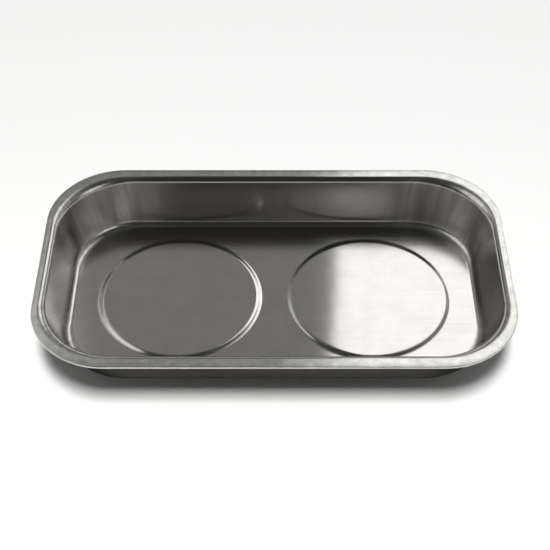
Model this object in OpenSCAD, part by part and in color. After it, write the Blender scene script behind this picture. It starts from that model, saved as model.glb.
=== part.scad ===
// Magnetic parts tray: a pressed stainless dish on two rubber-booted ring magnets.
// Millimetres, +Z up. The origin is midway between the boots, on the surface they stand on.

/* [Dish] */
// Overall length over the rim
tray_l = 240; // [224:1:320]
// Overall width over the rim
tray_w = 140; // [132:1:200]
// Height of the rim above the surface that the tray stands on
tray_h = 40; // [32:0.5:56]
// Thickness of the sheet
sheet_t = 0.6; // [0.4:0.1:1]
// Outer corner radius of the rim, seen from above
rim_corner_r = 39; // [32:0.5:50]

/* [Rim and wall] */
// Flat width of the rim, from its edge to the bend
rim_flat = 3.8; // [2.6:0.1:6]
// Width of the edge that is folded back under the rim
hem_w = 2.2; // [1.4:0.1:2.5]
// Radius of the bend from the rim into the wall, on its upper side
rim_bend_r = 3; // [1.4:0.1:4]
// Lean of the wall from the vertical, in degrees
wall_lean = 16; // [8:1:26]
// Inside radius between the wall and the floor
floor_fillet_r = 3.5; // [1.5:0.1:6]

/* [Plateaus] */
// Width of the flat floor between the two plateaus
plateau_gap = 12; // [4:0.5:24]
// Gap between the boot and the step of the plateau round it
recess_gap = 1.2; // [0.5:0.1:3]
// Width of the step, seen from above
step_w = 3.8; // [2.8:0.1:4.5]
// Height of the plateau above the floor
plateau_rise = 0.6; // [0.5:0.1:1.8]

/* [Magnets] */
// Outer radius of the ring magnet
magnet_r = 35; // [30:0.5:39]
// Radius of the bore through the ring magnet
magnet_bore_r = 16; // [14:0.5:18]
// Thickness of the ring magnet
magnet_t = 9; // [8:0.5:12]
// Chamfer on the edges of the ring magnet
magnet_chamfer = 0.8; // [0.4:0.1:1.5]
// Thickness of the foam pad, squeezed between the magnet and the dish
pad_t = 0.5; // [0.5:0.1:1.5]
// Width of the pad's bore beyond the magnet's bore
pad_inset = 1; // [0.5:0.1:2]

/* [Backing plates] */
// Thickness of the backing plate
plate_t = 1; // [0.8:0.1:1.2]
// Height of the well that rises into the bore of the magnet
well_h = 6.4; // [5.6:0.1:7]
// Inside bend radius of the plate
plate_bend_r = 1; // [0.6:0.1:1.5]
// Gap between the well and the bore of the magnet
well_gap = 1; // [0.3:0.1:1.5]

/* [Fasteners] */
// Radius of the stud's shank
stud_r = 2.5; // [2:0.25:3]
// Radius of the stud's welded foot
stud_foot_r = 4; // [3.5:0.25:6]
// Length of the stud below the nut
stud_end = 0.5; // [0.2:0.1:0.8]
// Chamfer on the end of the stud
stud_chamfer = 0.5; // [0.2:0.1:0.8]
// Gap between the stud and the hole in the plate and the washer
hole_gap = 0.3; // [0.1:0.05:0.5]
// Gap between the stud and the bore of the nut
thread_gap = 0.05; // [0.03:0.01:0.1]
// Outer radius of the washer
washer_r = 5.5; // [5:0.25:7]
// Thickness of the washer
washer_t = 1; // [0.6:0.1:1.2]
// Width of the nut across its flats
nut_af = 8; // [8:0.5:10]
// Height of the nut's hexagon
nut_hex_h = 3.4; // [2.8:0.1:3.6]
// Height of the nut's collar
collar_h = 1.4; // [1.2:0.1:1.6]
// Wall of the nut's collar
collar_wall = 0.5; // [0.3:0.05:0.5]
// Height of the collar's edge that is rolled in under the nylon ring
collar_lip_h = 0.25; // [0.2:0.05:0.4]
// Radial width of the nylon ring in the collar
insert_w = 0.7; // [0.5:0.05:0.7]

/* [Boots] */
// Thickness of the boot's wall
boot_wall = 3.3; // [2:0.1:5]
// Gap between the boot and the magnet
boot_gap = 0.2; // [0.1:0.05:0.4]
// Thickness of the boot's base
boot_base_t = 2.2; // [1.6:0.1:3]
// Width of the boot's lip that is held between the magnet and the dish
lip_w = 1.2; // [0.9:0.1:2]
// Gap between the lip and the foam pad
lip_gap = 0.3; // [0.1:0.1:0.6]
// Radius of the boot's lower outer edge
boot_edge_r = 1.8; // [0.8:0.1:2.2]
// Radius of the window in the boot's base, round the nut
window_r = 16; // [14:0.5:18]
// Number of grip grooves in the boot's base
groove_count = 3; // [1:1:4]
// Width of a grip groove
groove_w = 1.6; // [0.8:0.1:1.8]
// Depth of a grip groove
groove_d = 0.7; // [0.4:0.1:1]

/* [Hidden] */
$fn = 96;

left = -1;
right = 1;
steel_colour = [0.76, 0.76, 0.75];
zinc_colour = [0.80, 0.80, 0.78];
ferrite_colour = [0.17, 0.17, 0.18];
foam_colour = [0.24, 0.24, 0.25];
nylon_colour = [0.90, 0.89, 0.84];
rubber_colour = [0.06, 0.06, 0.065];

// Straight steps in each rounded bend of a profile
arc_steps = 8;
// Small overlap that lets two solids of one piece join
join = 0.5;

// Heights of the stack, from the surface upwards
plate_z = boot_base_t;
magnet_z = plate_z + plate_t;
pad_z = magnet_z + magnet_t;
ceiling_z = pad_z + pad_t;
plateau_z = ceiling_z + sheet_t;
floor_z = plateau_z - plateau_rise;

// Heights of the fasteners, from the well downwards
well_z = magnet_z + well_h - plate_t;
washer_z = well_z - washer_t;
collar_z = washer_z - nut_hex_h;
nut_z = collar_z - collar_h;
stud_z = nut_z - stud_end;

// Places of the rim's corner centres
corner_x = tray_l / 2 - rim_corner_r;
corner_y = tray_w / 2 - rim_corner_r;

// Profile of the dish: u is the distance outwards from a corner centre
bend_c = [rim_corner_r - rim_flat, tray_h - rim_bend_r];
wall_top = bend_c + rim_bend_r * [-cos(wall_lean), sin(wall_lean)];
wall_foot_z = floor_z + floor_fillet_r * (1 - sin(wall_lean));
wall_run = (wall_top.y - wall_foot_z) * tan(wall_lean);
fillet_c = [
  wall_top.x - wall_run - floor_fillet_r * cos(wall_lean),
  floor_z + floor_fillet_r
];
hem_c = [rim_corner_r - sheet_t, tray_h - sheet_t];

// Radii of the boot, from the magnet outwards
boot_in_r = magnet_r + boot_gap;
boot_r = boot_in_r + boot_wall;
lip_r = magnet_r - lip_w;
pad_bore_r = magnet_bore_r + pad_inset;
pad_r = lip_r - lip_gap;
top_edge_r = pad_t / 2;
groove_pitch = (boot_r - boot_edge_r - window_r) / (groove_count + 2);

// Radius of the plateau at the foot of its step, round the boot below it, and its place
plateau_r = boot_r + recess_gap + step_w;
plateau_x = plateau_r + plateau_gap / 2;

// Profile of the plateau's step: two equal arcs that meet on its slope
step_angle = 2 * atan(plateau_rise / step_w);
step_r = step_w / (2 * sin(step_angle));
crest_c = [plateau_r - step_w, plateau_z - step_r];
foot_c = [plateau_r, floor_z + step_r];
plateau_lap = 2 * join;

// Radii of the plate and the fasteners
well_r = magnet_bore_r - well_gap;
stud_hole_r = stud_r + hole_gap;
nut_bore_r = stud_r + thread_gap;
insert_r = nut_bore_r + insert_w;
collar_r = insert_r + collar_wall;
hex_sides = 6;
hex_corner_r = nut_af / 2 / cos(180 / hex_sides);
hex_chamfer_angle = 30;
hex_chamfer_inset = 0.05;

// Points along an arc about c, from angle a0 to a1
function arc(c, r, a0, a1) = [
  for (i = [0:arc_steps]) let (a = a0 + (a1 - a0) * i / arc_steps) c + r * [cos(a), sin(a)]
];

// Section of the sheet from a corner centre to the folded edge of the rim
function dish_profile() = concat(
  [[0, floor_z]],
  arc(fillet_c, floor_fillet_r, -90, -wall_lean),
  arc(bend_c, rim_bend_r, 180 - wall_lean, 90),
  arc(hem_c, sheet_t, 90, -90),
  [[rim_corner_r - hem_w, tray_h - 2 * sheet_t], [rim_corner_r - hem_w, tray_h - sheet_t]],
  arc(bend_c, rim_bend_r - sheet_t, 90, 180 - wall_lean),
  arc(fillet_c, floor_fillet_r + sheet_t, -wall_lean, -90),
  [[0, floor_z - sheet_t]]
);

// Section of a plateau, from its centre to the flat of the floor
function plateau_profile() = concat(
  [[0, plateau_z]],
  arc(crest_c, step_r, 90, 90 - step_angle),
  arc(foot_c, step_r, 270 - step_angle, 270),
  [[plateau_r + plateau_lap, floor_z], [plateau_r + plateau_lap, floor_z - sheet_t]],
  arc(foot_c, step_r + sheet_t, 270, 270 - step_angle),
  arc(crest_c, step_r - sheet_t, 90 - step_angle, 90),
  [[0, ceiling_z]]
);

// Section of the boot: base, rounded lower edge, wall and the lip over the magnet
function boot_profile() = concat(
  [[window_r, 0]],
  arc([boot_r - boot_edge_r, boot_edge_r], boot_edge_r, -90, 0),
  arc([boot_r - top_edge_r, ceiling_z - top_edge_r], top_edge_r, 0, 90),
  [
    [lip_r, ceiling_z], [lip_r, pad_z], [boot_in_r, pad_z],
    [boot_in_r, plate_z], [window_r, plate_z]
  ]
);

// Section of the backing plate: flange under the magnet, well in its bore
function plate_profile() = let (
  outer_bend_r = plate_bend_r + plate_t,
  top_c = [well_r - outer_bend_r, well_z + plate_t - outer_bend_r],
  foot = [well_r + plate_bend_r, magnet_z + plate_bend_r]
) concat(
  [[stud_hole_r, well_z], [stud_hole_r, well_z + plate_t]],
  arc(top_c, outer_bend_r, 90, 0),
  arc(foot, plate_bend_r, 180, 270),
  [[magnet_r, magnet_z], [magnet_r, plate_z]],
  arc(foot, outer_bend_r, 270, 180),
  arc(top_c, plate_bend_r, 0, 90)
);

module on_side(side) { translate([side * plateau_x, 0, 0]) children(); }

module ring(outer_r, inner_r, z, h) {
  translate([0, 0, z]) difference() {
    cylinder(r = outer_r, h = h);
    translate([0, 0, -join]) cylinder(r = inner_r, h = h + 2 * join);
  }
}

// The straight run of the sheet along one side, from a corner centre
module dish_side(length) {
  rotate([90, 0, 0]) linear_extrude(length) polygon(dish_profile());
}

module dish_sheet() {
  translate([-corner_x, -corner_y, floor_z - sheet_t]) cube([2 * corner_x, 2 * corner_y, sheet_t]);
  for (turn = [0, 180]) rotate(turn) {
    translate([corner_x, corner_y, 0]) dish_side(2 * corner_y);
    translate([-corner_x, corner_y, 0]) rotate(90) dish_side(2 * corner_x);
    translate([corner_x, corner_y, 0]) rotate_extrude(angle = 90) polygon(dish_profile());
    translate([-corner_x, corner_y, 0]) rotate(90) rotate_extrude(angle = 90) polygon(dish_profile());
  }
}

module dish() {
  color(steel_colour) {
    difference() {
      dish_sheet();
      for (side = [left, right]) on_side(side)
        translate([0, 0, floor_z - sheet_t - join])
          cylinder(r = plateau_r + plateau_lap / 2, h = sheet_t + 2 * join);
    }
    for (side = [left, right]) on_side(side) rotate_extrude() polygon(plateau_profile());
  }
}

module weld_stud(side) {
  color(zinc_colour) on_side(side) rotate_extrude() polygon([
    [0, ceiling_z], [stud_foot_r, ceiling_z], [stud_foot_r, pad_z], [stud_r, pad_z],
    [stud_r, stud_z + stud_chamfer], [stud_r - stud_chamfer, stud_z], [0, stud_z]
  ]);
}

module foam_pad(side) {
  color(foam_colour) on_side(side) ring(pad_r, pad_bore_r, pad_z, pad_t);
}

module ring_magnet(side) {
  c = magnet_chamfer;
  color(ferrite_colour) on_side(side) rotate_extrude() polygon([
    [magnet_bore_r + c, magnet_z], [magnet_r - c, magnet_z],
    [magnet_r, magnet_z + c], [magnet_r, pad_z - c],
    [magnet_r - c, pad_z], [magnet_bore_r + c, pad_z],
    [magnet_bore_r, pad_z - c], [magnet_bore_r, magnet_z + c]
  ]);
}

module backing_plate(side) {
  color(zinc_colour) on_side(side) rotate_extrude() polygon(plate_profile());
}

module washer(side) {
  color(zinc_colour) on_side(side) ring(washer_r, stud_hole_r, washer_z, washer_t);
}

// The nut's hexagon, inside a cone that takes its corners off next to the collar
module nut_hexagon() {
  face_r = nut_af / 2 - hex_chamfer_inset;
  cone_r = face_r + nut_hex_h / tan(hex_chamfer_angle);
  translate([0, 0, collar_z]) intersection() {
    cylinder(r = hex_corner_r, h = nut_hex_h, $fn = hex_sides);
    cylinder(r1 = face_r, r2 = cone_r, h = nut_hex_h);
  }
}

module lock_nut(side) {
  color(zinc_colour) on_side(side) difference() {
    union() {
      nut_hexagon();
      translate([0, 0, nut_z]) cylinder(r = collar_r, h = collar_h + join);
    }
    translate([0, 0, nut_z - join]) cylinder(r = nut_bore_r, h = washer_z - nut_z + 2 * join);
    translate([0, 0, nut_z + collar_lip_h]) cylinder(r = insert_r, h = collar_h - collar_lip_h);
  }
}

module nut_insert(side) {
  color(nylon_colour) on_side(side)
    ring(insert_r, nut_bore_r, nut_z + collar_lip_h, collar_h - collar_lip_h);
}

module rubber_boot(side) {
  color(rubber_colour) on_side(side) difference() {
    rotate_extrude() polygon(boot_profile());
    for (i = [1:groove_count]) {
      groove_r = window_r + i * groove_pitch;
      ring(groove_r + groove_w / 2, groove_r - groove_w / 2, -join, groove_d + join);
    }
  }
}

dish();
weld_stud(left);  // left_weld_stud
weld_stud(right);  // right_weld_stud
foam_pad(left);  // left_foam_pad
foam_pad(right);  // right_foam_pad
ring_magnet(left);  // left_ring_magnet
ring_magnet(right);  // right_ring_magnet
backing_plate(left);  // left_backing_plate
backing_plate(right);  // right_backing_plate
washer(left);  // left_washer
washer(right);  // right_washer
lock_nut(left);  // left_lock_nut
lock_nut(right);  // right_lock_nut
nut_insert(left);  // left_nut_insert
nut_insert(right);  // right_nut_insert
rubber_boot(left);  // left_rubber_boot
rubber_boot(right);  // right_rubber_boot
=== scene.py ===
"""Magnetic parts tray: a pressed stainless dish that stands on two ring magnets in rubber boots.

Laid out as an add-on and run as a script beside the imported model. Lengths are metres in the model's frame.
"""

import math

import bmesh
import bpy
from bpy.props import FloatProperty, FloatVectorProperty, IntProperty, PointerProperty
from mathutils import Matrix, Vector


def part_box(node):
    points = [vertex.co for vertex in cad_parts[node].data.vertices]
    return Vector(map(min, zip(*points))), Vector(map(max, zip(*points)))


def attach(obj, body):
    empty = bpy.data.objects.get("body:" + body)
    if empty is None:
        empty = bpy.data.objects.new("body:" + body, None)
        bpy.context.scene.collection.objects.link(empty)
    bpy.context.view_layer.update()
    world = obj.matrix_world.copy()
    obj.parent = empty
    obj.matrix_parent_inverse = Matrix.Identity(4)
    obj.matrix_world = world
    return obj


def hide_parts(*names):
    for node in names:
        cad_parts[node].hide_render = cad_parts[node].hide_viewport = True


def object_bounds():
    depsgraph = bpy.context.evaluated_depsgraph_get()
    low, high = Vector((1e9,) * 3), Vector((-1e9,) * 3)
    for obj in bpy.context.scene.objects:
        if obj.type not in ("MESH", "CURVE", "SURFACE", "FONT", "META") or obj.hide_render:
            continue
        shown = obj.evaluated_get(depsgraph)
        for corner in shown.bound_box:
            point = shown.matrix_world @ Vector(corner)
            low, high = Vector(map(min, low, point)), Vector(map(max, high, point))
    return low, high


bl_info = {
    "name": "Magnetic Parts Tray",
    "version": (1, 0, 0),
    "blender": (4, 5, 0),
    "location": "3D View > Sidebar > Parts Tray",
    "description": "Builds a pressed stainless parts tray on two booted ring magnets, and its stage",
    "category": "Add Mesh",
}

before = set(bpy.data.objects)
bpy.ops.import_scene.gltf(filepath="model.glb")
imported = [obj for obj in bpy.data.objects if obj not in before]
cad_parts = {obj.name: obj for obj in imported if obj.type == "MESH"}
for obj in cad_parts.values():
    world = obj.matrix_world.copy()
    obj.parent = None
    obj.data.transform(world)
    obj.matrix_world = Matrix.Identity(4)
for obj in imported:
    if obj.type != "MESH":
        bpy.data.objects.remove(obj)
CAD_LOW, CAD_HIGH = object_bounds()
DISH_LOW, DISH_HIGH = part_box("dish")
BOOT_LOW, BOOT_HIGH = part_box("right_rubber_boot")
MAGNET_X = (BOOT_LOW.x + BOOT_HIGH.x) / 2

MM = 0.001
SIDES = ("left", "right")
# Finishes of the dish, in the order of its material slots
ZONES = ["floor", "wall", "rim", "underside"]
# Steps round a corner of the dish, cuts in each straight, and points in a whole loop
CORNER_STEPS = 48
STRAIGHT_CUTS = 31
LOOP_POINTS = 4 * (CORNER_STEPS + 1 + STRAIGHT_CUTS)
# Steps in the sheet's bends on the inside and the outside, over the rim and up to a plateau
BEND_STEPS = 10
BACK_STEPS = 8
CROWN_STEPS = 8
PLATEAU_STEPS = 7
# Steps round the boots, plates and pads, round the nuts and washers, and round the studs
ROUND_STEPS = 128
NUT_STEPS = 96
THREAD_STEPS = 48
# Rows of points in one turn of the thread
CUTS_PER_TURN = 8
# Level strip of the floor beside a bend, which keeps the floor's shading flat
LEVEL_STRIP = 0.8 * MM
# Distance between loops while they are joined
LOOP_GAP = 0.05
# Length of a straight over which the dull finish of a corner fades
CORNER_FADE = 30 * MM


def linear(code):
    """Linear colour of an sRGB hex value."""
    parts = [int(code[i : i + 2], 16) / 255 for i in (1, 3, 5)]
    return [p / 12.92 if p <= 0.04045 else ((p + 0.055) / 1.055) ** 2.4 for p in parts]


def length(name, text, value):
    """A length in metres that a user may change."""
    return FloatProperty(name=name, description=text, default=value, min=0, unit="LENGTH", precision=5)


def finish_colour(name, text, code):
    """A colour that a user may change, given as an sRGB hex value."""
    return FloatVectorProperty(
        name=name, description=text, default=linear(code), size=3, min=0, max=1, subtype="COLOR"
    )


class DishSettings(bpy.types.PropertyGroup):
    """Sizes and colours of the dish."""

    rim_corner: length("Rim corner", "Radius of the rim's corners", 39 * MM)
    rim_flat: length("Rim flat", "Width of the rim's flat top at the ends", 2.75 * MM)
    side_flat: length("Side flat", "Width of the rim's flat top along the sides", 5 * MM)
    crown: length("Crown", "How far the rim's flat top falls to its outer edge", 0.16 * MM)
    hem: length("Hem", "Width of the fold under the rim's edge", 2.2 * MM)
    hem_edge: length("Hem edge", "Radius on the folded edge, which is pressed flat", 0.3 * MM)
    rim_bend: length("Rim bend", "Radius of the bend from the rim into the wall", 3.4 * MM)
    sheet: length("Sheet", "Thickness of the sheet", 0.6 * MM)
    wall_lean: FloatProperty(
        name="Wall lean",
        description="How far the wall leans out",
        default=math.radians(15.4),
        subtype="ANGLE",
    )
    fillet: length("Floor fillet", "Radius of the bend from the wall into the floor", 3.5 * MM)
    corner_ease: length("Corner ease", "How much rounder the corners grow down to the floor", 7 * MM)
    bend_share: FloatProperty(
        name="Bend share",
        description="Share of the corner ease that lies in the rim's bend",
        default=0.6,
        min=0,
        max=1,
        subtype="FACTOR",
    )
    fillet_ease: length("Fillet ease", "How much rounder the corners grow in the floor fillet", 5 * MM)
    step_width: length("Step width", "Width of the step up to a plateau", 3.8 * MM)
    step_rise: length("Step rise", "Height of a plateau over the floor", 0.6 * MM)
    recess_gap: length("Recess gap", "Gap round a boot in the recess under its plateau", 1.2 * MM)
    steel: finish_colour("Steel", "Bare stainless steel", "#CDCBC6")
    rim_steel: finish_colour("Rim steel", "Stainless steel of the satin rim", "#D2D1CD")


class BootSettings(bpy.types.PropertyGroup):
    """Sizes and colours of the rubber boots."""

    wall: length("Wall", "Thickness of the boot's wall", 3.3 * MM)
    base: length("Base", "Thickness of the boot's base", 2.2 * MM)
    edge: length("Lower edge", "Radius of the boot's lower edge", 1.8 * MM)
    lip: length("Lip", "Width of the lip over the magnet", 1.4 * MM)
    window: length("Window", "Radius of the window round the nut", 16 * MM)
    groove_width: length("Groove width", "Width of a grip groove", 1.6 * MM)
    groove_depth: length("Groove depth", "Depth of a grip groove", 0.7 * MM)
    groove_count: IntProperty(name="Grooves", description="Number of grip grooves", default=3, min=1, max=4)
    rubber: finish_colour("Rubber", "Moulded black rubber", "#1B1B1C")


class PlateSettings(bpy.types.PropertyGroup):
    """Sizes and colours of the backing plates."""

    sheet: length("Sheet", "Thickness of the plate", 1 * MM)
    well: length("Well", "Outer radius of the well in the magnet's bore", 15 * MM)
    bend: length("Bend", "Inside radius of the plate's bends", 1 * MM)
    hole: length("Hole", "Radius of the hole round the stud", 2.8 * MM)
    zinc: finish_colour("Zinc", "Zinc plate on pressed steel", "#BFC2C4")


class StudSettings(bpy.types.PropertyGroup):
    """Sizes and colours of the studs."""

    thread: length("Thread", "Outer radius of the thread", 2.5 * MM)
    pitch: length("Pitch", "Rise of the thread in one turn", 0.8 * MM)
    depth: length("Depth", "Depth of the thread", 0.43 * MM)
    lead: length("Lead", "Chamfer on the end of the stud", 0.5 * MM)
    zinc: finish_colour("Zinc", "Zinc plate with a bluish tint", "#C2C8CE")


class NutSettings(bpy.types.PropertyGroup):
    """Sizes and colours of the washers, the lock nuts and their nylon rings."""

    hole: length("Washer hole", "Radius of the hole in the washer", 2.8 * MM)
    bore: length("Bore", "Radius of the nut's bore", 2.55 * MM)
    collar: length("Collar", "Outer radius of the nut's collar", 3.75 * MM)
    collar_height: length("Collar height", "Height of the nut's collar", 1.4 * MM)
    mouth: length("Mouth", "Radius of the mouth that is rolled in under the nylon ring", 2.95 * MM)
    zinc: finish_colour("Zinc", "Zinc plate with a bluish tint", "#C2C8CE")
    nylon: finish_colour("Nylon", "Natural nylon", "#E2DCC8")


class MagnetSettings(bpy.types.PropertyGroup):
    """Sizes and colours of the magnets and the foam pads on them."""

    pad_bore: length("Pad bore", "Radius of the hole in a foam pad", 17 * MM)
    bulge: length("Bulge", "How far a squeezed pad's edge bulges", 0.2 * MM)
    ferrite: finish_colour("Ferrite", "Sintered ferrite", "#38383A")
    foam: finish_colour("Foam", "Closed cell foam", "#2B2B2D")


class StageSettings(bpy.types.PropertyGroup):
    """The floor, the light and the camera."""

    paper: finish_colour("Paper", "The white floor", "#FBFBFA")
    lens: FloatProperty(name="Lens", description="Focal length in millimetres", default=81.1)
    tilt: FloatProperty(
        name="Tilt",
        description="Camera's turn up from straight down",
        default=math.radians(43.57),
        subtype="ANGLE",
    )
    place: FloatVectorProperty(
        name="Camera", description="Camera's place", default=(0, -0.4416, 0.4936), subtype="TRANSLATION"
    )


def add_node(tree, kind, settings=None, links=None):
    """Add a node, set its options and its sockets' values, and link its inputs."""
    made = tree.nodes.new(kind)
    for name, value in (settings or {}).items():
        if isinstance(name, int) or name in made.inputs:
            made.inputs[name].default_value = value
        else:
            setattr(made, name, value)
    for name, source in (links or {}).items():
        tree.links.new(source, made.inputs[name])
    return made


def new_material(name):
    """An empty node material."""
    made = bpy.data.materials.new(name)
    made.use_nodes = True
    made.node_tree.nodes.clear()
    return made


def shades(colour, dark, light):
    """Settings of a colour mix that runs from a darker to a lighter shade of one colour."""
    return {"data_type": "RGBA", 6: [dark * c for c in colour] + [1], 7: [light * c for c in colour] + [1]}


def brushed_stainless_floor(colour):
    """Cold rolled stainless, brushed along the tray: a soft mirror that smears across its fine lines."""
    made = new_material("brushed_stainless_floor")
    tree = made.node_tree
    place = add_node(tree, "ShaderNodeTexCoord").outputs["Object"]
    # Brush lines of about 0.1 mm are too fine to show, so they are drawn 0.8 mm apart and 50 mm long
    along = add_node(
        tree,
        "ShaderNodeMapping",
        {"Scale": (1 / (50 * MM), 1 / (0.8 * MM), 1 / (50 * MM))},
        {"Vector": place},
    )
    lines = add_node(
        tree,
        "ShaderNodeTexNoise",
        {"Scale": 1, "Detail": 3, "Roughness": 0.6},
        {"Vector": along.outputs[0]},
    )
    # The pressed sheet is not quite flat: shallow waves of about 40 mm
    waves = add_node(
        tree, "ShaderNodeTexNoise", {"Scale": 1 / (40 * MM), "Detail": 1}, {"Vector": place}
    )
    # Handling leaves faint clouds of about 9 mm
    clouds = add_node(tree, "ShaderNodeTexNoise", {"Scale": 1 / (9 * MM), "Detail": 4}, {"Vector": place})
    gloss = add_node(
        tree,
        "ShaderNodeMapRange",
        {"From Min": 0.3, "From Max": 0.7, "To Min": 0.115, "To Max": 0.135},
        {"Value": lines.outputs[0]},
    )
    worn = add_node(
        tree, "ShaderNodeMath", {"operation": "ADD"}, {0: lines.outputs[0], 1: clouds.outputs[0]}
    )
    wear = add_node(
        tree, "ShaderNodeMapRange", {"From Min": 0.75, "From Max": 1.25}, {"Value": worn.outputs[0]}
    )
    shade = add_node(tree, "ShaderNodeMix", shades(colour, 0.9, 1), {0: wear.outputs[0]})
    wavy = add_node(tree, "ShaderNodeBump", {"Distance": 0.03 * MM}, {"Height": waves.outputs[0]})
    fine = add_node(
        tree,
        "ShaderNodeBump",
        {"Distance": 0.001 * MM},
        {"Height": lines.outputs[0], "Normal": wavy.outputs[0]},
    )
    grain = add_node(tree, "ShaderNodeTangent", {"direction_type": "UV_MAP", "uv_map": "across_brush"})
    metal = add_node(
        tree,
        "ShaderNodeBsdfPrincipled",
        {"Metallic": 1, "Anisotropic": 1},
        {
            "Base Color": shade.outputs[2],
            "Roughness": gloss.outputs[0],
            "Normal": fine.outputs[0],
            "Tangent": grain.outputs[0],
        },
    )
    add_node(tree, "ShaderNodeOutputMaterial", None, {"Surface": metal.outputs[0]})
    return made


def drawn_stainless_wall(colour):
    """Deep drawn stainless: a softly waved mirror, dulled and streaked by the die in the corners."""
    made = new_material("drawn_stainless_wall")
    tree = made.node_tree
    place = add_node(tree, "ShaderNodeTexCoord").outputs["Object"]
    column = add_node(tree, "ShaderNodeAttribute", {"attribute_name": "draw_line"}).outputs["Vector"]
    corner = add_node(tree, "ShaderNodeAttribute", {"attribute_name": "corner"}).outputs["Fac"]
    # Die lines about 4 mm apart, which run straight down the wall
    lines = add_node(
        tree,
        "ShaderNodeTexNoise",
        {"Scale": 1 / (4 * MM), "Detail": 3, "Roughness": 0.6},
        {"Vector": column},
    )
    # Slow waves of about 18 mm
    waves = add_node(
        tree, "ShaderNodeTexNoise", {"Scale": 1 / (18 * MM), "Detail": 1}, {"Vector": place}
    )
    share = add_node(
        tree, "ShaderNodeMapRange", {"To Min": 0.25, "To Max": 1}, {"Value": corner}
    )
    ridge = add_node(
        tree, "ShaderNodeMath", {"operation": "MULTIPLY"}, {0: lines.outputs[0], 1: share.outputs[0]}
    )
    streak = add_node(
        tree, "ShaderNodeMapRange", {"From Min": 0.36, "From Max": 0.62}, {"Value": ridge.outputs[0]}
    )
    shade = add_node(tree, "ShaderNodeMix", shades(colour, 0.8, 1), {0: streak.outputs[0]})
    gloss = add_node(tree, "ShaderNodeMapRange", {"To Min": 0.13, "To Max": 0.26}, {"Value": corner})
    wavy = add_node(tree, "ShaderNodeBump", {"Distance": 0.04 * MM}, {"Height": waves.outputs[0]})
    fine = add_node(
        tree,
        "ShaderNodeBump",
        {"Distance": 0.045 * MM},
        {"Height": ridge.outputs[0], "Normal": wavy.outputs[0]},
    )
    metal = add_node(
        tree,
        "ShaderNodeBsdfPrincipled",
        {"Metallic": 1},
        {"Base Color": shade.outputs[2], "Roughness": gloss.outputs[0], "Normal": fine.outputs[0]},
    )
    add_node(tree, "ShaderNodeOutputMaterial", None, {"Surface": metal.outputs[0]})
    return made


def satin_stainless_rim(colour):
    """Pressed and folded stainless: satin, a clear reflection under a wide haze, with soft grey smears."""
    made = new_material("satin_stainless_rim")
    tree = made.node_tree
    place = add_node(tree, "ShaderNodeTexCoord").outputs["Object"]
    # Smears of about 5 mm from the pressing tool
    smears = add_node(
        tree,
        "ShaderNodeTexNoise",
        {"Scale": 1 / (5 * MM), "Detail": 3, "Roughness": 0.55},
        {"Vector": place},
    )
    # Slow dents of about 14 mm, where the gloss changes too
    patches = add_node(tree, "ShaderNodeTexNoise", {"Scale": 1 / (14 * MM), "Detail": 2}, {"Vector": place})
    gloss = add_node(
        tree,
        "ShaderNodeMapRange",
        {"From Min": 0.3, "From Max": 0.7, "To Min": 0.13, "To Max": 0.19},
        {"Value": patches.outputs[0]},
    )
    wear = add_node(
        tree, "ShaderNodeMapRange", {"From Min": 0.3, "From Max": 0.7}, {"Value": smears.outputs[0]}
    )
    shade = add_node(tree, "ShaderNodeMix", shades(colour, 0.84, 1.08), {0: wear.outputs[0]})
    wavy = add_node(tree, "ShaderNodeBump", {"Distance": 0.05 * MM}, {"Height": patches.outputs[0]})
    fine = add_node(
        tree,
        "ShaderNodeBump",
        {"Distance": 0.012 * MM},
        {"Height": smears.outputs[0], "Normal": wavy.outputs[0]},
    )
    clear = add_node(
        tree,
        "ShaderNodeBsdfPrincipled",
        {"Metallic": 1},
        {"Base Color": shade.outputs[2], "Roughness": gloss.outputs[0], "Normal": fine.outputs[0]},
    )
    haze = add_node(
        tree,
        "ShaderNodeBsdfPrincipled",
        {"Metallic": 1, "Roughness": 0.5},
        {"Base Color": shade.outputs[2], "Normal": fine.outputs[0]},
    )
    satin = add_node(
        tree, "ShaderNodeMixShader", {"Fac": 0.25}, {1: clear.outputs[0], 2: haze.outputs[0]}
    )
    add_node(tree, "ShaderNodeOutputMaterial", None, {"Surface": satin.outputs[0]})
    return made


def underside_stainless_painted_dark(colour):
    """The sheet's unpolished back: dull and cloudy, with faint scuffs along the tray, and painted dark: its
    colour is kept far below bare steel as a painted reflection of the shadowed floor under the tray.
    """
    made = new_material("underside_stainless_painted_dark")
    tree = made.node_tree
    place = add_node(tree, "ShaderNodeTexCoord").outputs["Object"]
    clouds = add_node(tree, "ShaderNodeTexNoise", {"Scale": 1 / (20 * MM), "Detail": 4}, {"Vector": place})
    # Scuffs of about 3 by 40 mm
    along = add_node(
        tree,
        "ShaderNodeMapping",
        {"Scale": (1 / (40 * MM), 1 / (3 * MM), 1 / (12 * MM))},
        {"Vector": place},
    )
    scuffs = add_node(tree, "ShaderNodeTexNoise", {"Scale": 1, "Detail": 3}, {"Vector": along.outputs[0]})
    gloss = add_node(
        tree,
        "ShaderNodeMapRange",
        {"From Min": 0.3, "From Max": 0.7, "To Min": 0.29, "To Max": 0.38},
        {"Value": clouds.outputs[0]},
    )
    # Painted shade: the colour runs at only 0.13 to 0.18 of the steel, a painted reflection of the shadowed
    # floor on the outer walls; the scuffs vary it within that range
    shade = add_node(tree, "ShaderNodeMix", shades(colour, 0.13, 0.18), {0: scuffs.outputs[0]})
    fine = add_node(tree, "ShaderNodeBump", {"Distance": 0.003 * MM}, {"Height": scuffs.outputs[0]})
    # A grey edge tint, so that the dull skin mirrors little at a flat angle; it also darkens the outer walls
    # further, as painted shade
    metal = add_node(
        tree,
        "ShaderNodeBsdfPrincipled",
        {"Metallic": 1, "Specular Tint": (0.25, 0.25, 0.25, 1)},
        {"Base Color": shade.outputs[2], "Roughness": gloss.outputs[0], "Normal": fine.outputs[0]},
    )
    add_node(tree, "ShaderNodeOutputMaterial", None, {"Surface": metal.outputs[0]})
    return made


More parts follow.
